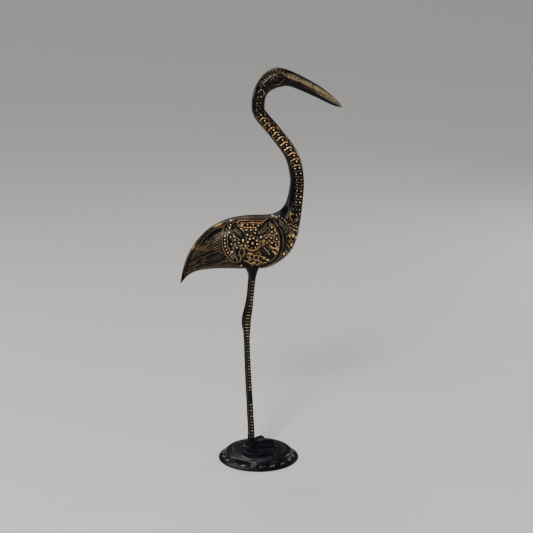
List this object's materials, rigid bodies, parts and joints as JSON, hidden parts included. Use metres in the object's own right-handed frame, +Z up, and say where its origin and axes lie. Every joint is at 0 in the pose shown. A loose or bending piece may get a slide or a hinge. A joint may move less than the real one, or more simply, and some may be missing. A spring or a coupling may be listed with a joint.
{
  "type": "crane statue",
  "caption": "Standing brass crane with an S-curved neck, long beak and slender legs, chased all over in flowers and feathers, on a stepped round foot.",
  "frame": {"origin": "centre of the round foot's flat underside", "axes": "+Z up, +X forwards to the beak, +Y to the bird's left"},
  "size_m": [0.1824, 0.0926, 0.4501],
  "materials": {
    "chased_brass": "chased and antiqued, black in the recesses and worn to gold on the high points",
    "blackened_brass": "black lacquered with a soft gloss, gold left in the chased strokes of the rim"
  },
  "bodies": {
    "root": {"crane": "chased_brass", "round_base": "blackened_brass"}
  },
  "joints": []
}
